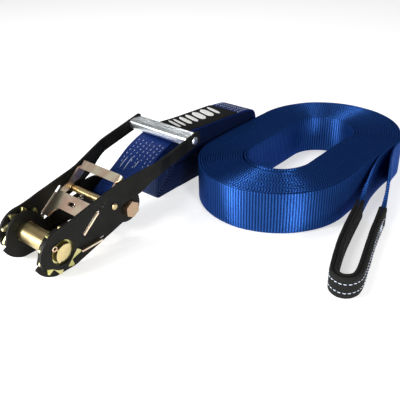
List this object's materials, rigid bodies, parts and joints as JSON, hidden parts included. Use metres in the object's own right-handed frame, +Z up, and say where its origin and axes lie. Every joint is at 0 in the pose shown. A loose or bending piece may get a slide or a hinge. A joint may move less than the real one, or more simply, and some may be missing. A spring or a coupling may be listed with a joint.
{
  "type": "ratchet tie down",
  "caption": "Ratchet buckle with folding handle on a folded-up short webbing strap, beside a coiled long webbing strap with a sleeved eye loop.",
  "frame": {"origin": "middle of the bounding box at floor level", "axes": "+X from the drum towards the handle grip, parallel to the ratchet side plates; +Y from the coiled strap towards the ratchet; +Z up"},
  "size_m": [0.5045, 0.3278, 0.0931],
  "materials": {
    "black_paint": "satin black paint",
    "yellow_zinc": "yellow zinc plate",
    "pale_gold": "pale zinc plate",
    "copper_zinc": "pink-gold plate",
    "olive_zinc": "olive-gold plate",
    "silver": "satin, ribbed",
    "spring_steel": "bright wire",
    "blue_webbing": "ribbed polyester webbing",
    "black_webbing": "black woven polyester"
  },
  "bodies": {
    "base": {"base_plate_near": "black_paint", "base_plate_far": "black_paint", "anchor_bolt": "copper_zinc", "anchor_nut": "copper_zinc", "anchor_sleeve": "spring_steel", "base_stay": "yellow_zinc", "lock_pawl_spring": "spring_steel"},
    "lock_pawl_body": {"lock_pawl": "pale_gold"},
    "spool": {"spool_half_upper": "yellow_zinc", "spool_half_lower": "yellow_zinc", "ratchet_wheel_near": "olive_zinc", "ratchet_wheel_far": "olive_zinc", "cotter_upper": "pale_gold", "cotter_lower": "pale_gold"},
    "handle": {"handle_plate_near": "black_paint", "handle_plate_far": "black_paint", "grip_bar": "silver", "grip_rod": "silver", "cross_bar": "yellow_zinc", "drive_pawl_spring": "spring_steel"},
    "drive_pawl_body": {"drive_pawl": "pale_gold"},
    "anchor_strap": {"anchor_strap_run": "blue_webbing", "anchor_strap_hank": "blue_webbing", "strap_label": "black_webbing"},
    "long_strap": {"long_strap_coil": "blue_webbing", "eye_sleeve": "black_webbing", "eye_leg_inner": "blue_webbing", "eye_leg_outer": "blue_webbing"}
  },
  "joints": [
    {"name": "handle_fold", "type": "hinge", "parent": "base", "child": "handle", "pos_m": [-0.224, 0.113, 0.0275], "axis": [0, -1, 0], "range_deg": [0, 180]},
    {"name": "spool_spin", "type": "hinge", "parent": "base", "child": "spool", "pos_m": [-0.224, 0.113, 0.0275], "axis": [0, -1, 0], "continuous": true},
    {"name": "drive_pawl_slide", "type": "slide", "parent": "handle", "child": "drive_pawl_body", "axis": [0.788, 0, 0.6157], "range_m": [0, 0.008], "stiffness_N_per_m": 400, "springref_m": -0.015},
    {"name": "lock_pawl_slide", "type": "slide", "parent": "base", "child": "lock_pawl_body", "axis": [1, 0, 0], "range_m": [0, 0.0065], "stiffness_N_per_m": 400, "springref_m": -0.015},
    {"name": "anchor_strap_swing", "type": "hinge", "parent": "base", "child": "anchor_strap", "pos_m": [-0.1288, 0.113, 0.0315], "axis": [0, -1, 0], "range_deg": [-90, 0]},
    {"name": "long_strap_slide_off", "type": "slide", "parent": "base", "child": "long_strap", "axis": [0, -1, 0], "range_m": [0, 0.25]}
  ]
}
